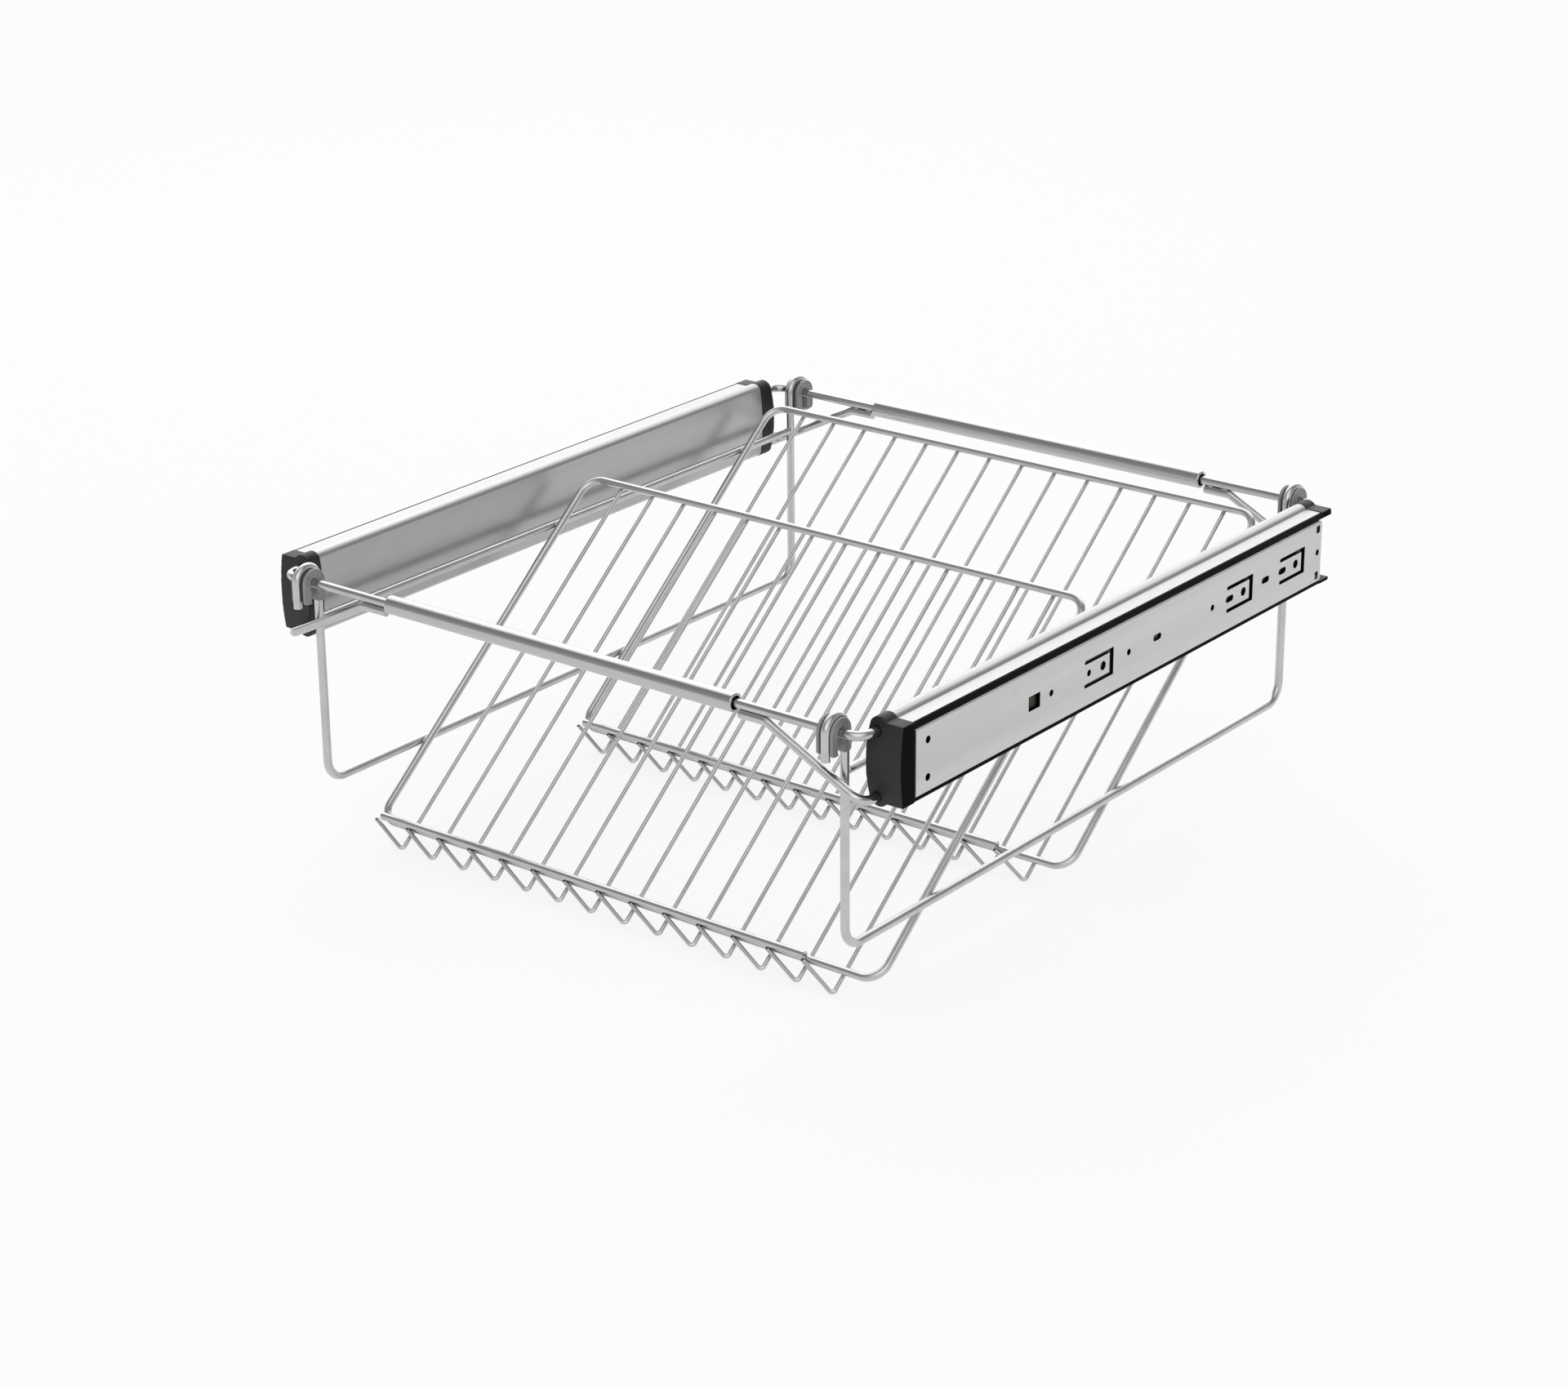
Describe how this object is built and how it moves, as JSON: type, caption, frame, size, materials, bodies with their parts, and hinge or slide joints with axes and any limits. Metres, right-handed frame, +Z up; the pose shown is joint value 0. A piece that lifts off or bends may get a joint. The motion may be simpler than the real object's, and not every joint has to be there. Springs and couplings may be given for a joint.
{
  "type": "pull-out cabinet basket",
  "caption": "Pull-out wire rack for a cabinet: sloping wire shelves hung on telescopic cross tubes between full-extension ball-bearing slides.",
  "frame": {"origin": "centre of the left slide's mounting face, on the wall plane, at mid length and mid height of the slide", "axes": "+X from the left wall to the right wall, -Y the pull-out direction (front), +Z up"},
  "size_m": [0.488, 0.5266, 0.202],
  "materials": {
    "zinc_plated_steel": "satin bright zinc plating",
    "greased_steel": "zinc plating under a film of dark grease",
    "ball_steel": "polished bearing steel",
    "anodised_aluminium": "fine satin anodised extrusion",
    "bright_chrome": "bright chrome plating",
    "nickel_wire": "bright nickel-plated steel wire, a little satin",
    "black_plastic": "fine grained moulding",
    "grey_plastic": "smooth moulding",
    "black_rubber": "matt"
  },
  "bodies": {
    "left_cabinet_rail": {"cabinet_rail_l": "zinc_plated_steel", "slide_bumper_l": "black_rubber"},
    "left_outer_cage": {"outer_cage_l": "greased_steel", "outer_balls_l": "ball_steel"},
    "left_middle_rail": {"middle_rail_l": "greased_steel"},
    "left_inner_cage": {"inner_cage_l": "greased_steel", "inner_balls_l": "ball_steel"},
    "left_carriage": {"inner_rail_l": "greased_steel", "rivets_l": "zinc_plated_steel", "profile_l": "anodised_aluminium", "top_strip_l": "black_plastic", "bottom_strip_l": "black_plastic", "front_cap_l": "black_plastic", "rear_cap_l": "black_plastic", "front_arm_l": "bright_chrome", "front_brace_l": "bright_chrome", "rear_arm_l": "bright_chrome", "rear_brace_l": "bright_chrome"},
    "right_cabinet_rail": {"cabinet_rail_r": "zinc_plated_steel", "slide_bumper_r": "black_rubber"},
    "right_outer_cage": {"outer_cage_r": "greased_steel", "outer_balls_r": "ball_steel"},
    "right_middle_rail": {"middle_rail_r": "greased_steel"},
    "right_inner_cage": {"inner_cage_r": "greased_steel", "inner_balls_r": "ball_steel"},
    "right_carriage": {"inner_rail_r": "greased_steel", "rivets_r": "zinc_plated_steel", "profile_r": "anodised_aluminium", "top_strip_r": "black_plastic", "bottom_strip_r": "black_plastic", "front_cap_r": "black_plastic", "rear_cap_r": "black_plastic", "front_arm_r": "bright_chrome", "front_brace_r": "bright_chrome", "rear_arm_r": "bright_chrome", "rear_brace_r": "bright_chrome"},
    "cross_tubes": {"front_tube": "bright_chrome", "rear_tube": "bright_chrome"},
    "basket": {"side_frame_l": "nickel_wire", "upper_rail_l": "nickel_wire", "front_saddle_l": "grey_plastic", "rear_saddle_l": "grey_plastic", "side_frame_r": "nickel_wire", "upper_rail_r": "nickel_wire", "front_saddle_r": "grey_plastic", "rear_saddle_r": "grey_plastic", "front_shelf_frame": "nickel_wire", "front_shelf_slats": "nickel_wire", "front_heel_bar": "nickel_wire", "rear_shelf_frame": "nickel_wire", "rear_shelf_slats": "nickel_wire", "rear_heel_bar": "nickel_wire"}
  },
  "joints": [
    {"name": "pull_out", "type": "slide", "parent": "left_cabinet_rail", "child": "left_carriage", "axis": [0, -1, 0], "range_m": [0, 0.45]},
    {"name": "left_outer_cage_slide", "type": "slide", "parent": "left_cabinet_rail", "child": "left_outer_cage", "axis": [0, -1, 0], "range_m": [0, 0.1125]},
    {"name": "left_middle_rail_slide", "type": "slide", "parent": "left_cabinet_rail", "child": "left_middle_rail", "axis": [0, -1, 0], "range_m": [0, 0.225]},
    {"name": "left_inner_cage_slide", "type": "slide", "parent": "left_cabinet_rail", "child": "left_inner_cage", "axis": [0, -1, 0], "range_m": [0, 0.3375]},
    {"name": "width_adjust", "type": "slide", "parent": "left_cabinet_rail", "child": "right_cabinet_rail", "axis": [1, 0, 0], "range_m": [-0.002, 0.08]},
    {"name": "right_carriage_slide", "type": "slide", "parent": "right_cabinet_rail", "child": "right_carriage", "axis": [0, -1, 0], "range_m": [0, 0.45]},
    {"name": "right_outer_cage_slide", "type": "slide", "parent": "right_cabinet_rail", "child": "right_outer_cage", "axis": [0, -1, 0], "range_m": [0, 0.1125]},
    {"name": "right_middle_rail_slide", "type": "slide", "parent": "right_cabinet_rail", "child": "right_middle_rail", "axis": [0, -1, 0], "range_m": [0, 0.225]},
    {"name": "right_inner_cage_slide", "type": "slide", "parent": "right_cabinet_rail", "child": "right_inner_cage", "axis": [0, -1, 0], "range_m": [0, 0.3375]},
    {"name": "tube_slide", "type": "slide", "parent": "left_carriage", "child": "cross_tubes", "axis": [1, 0, 0], "range_m": [-0.001, 0.04]},
    {"name": "basket_lift_off", "type": "slide", "parent": "cross_tubes", "child": "basket", "axis": [0, 0, 1], "range_m": [0, 0.06]}
  ],
  "couplings": [
    {"joint": "left_outer_cage_slide", "follows": "pull_out", "ratio": 0.25},
    {"joint": "left_middle_rail_slide", "follows": "pull_out", "ratio": 0.5},
    {"joint": "left_inner_cage_slide", "follows": "pull_out", "ratio": 0.75},
    {"joint": "right_carriage_slide", "follows": "pull_out", "ratio": 1},
    {"joint": "right_outer_cage_slide", "follows": "pull_out", "ratio": 0.25},
    {"joint": "right_middle_rail_slide", "follows": "pull_out", "ratio": 0.5},
    {"joint": "right_inner_cage_slide", "follows": "pull_out", "ratio": 0.75},
    {"joint": "tube_slide", "follows": "width_adjust", "ratio": 0.5}
  ]
}
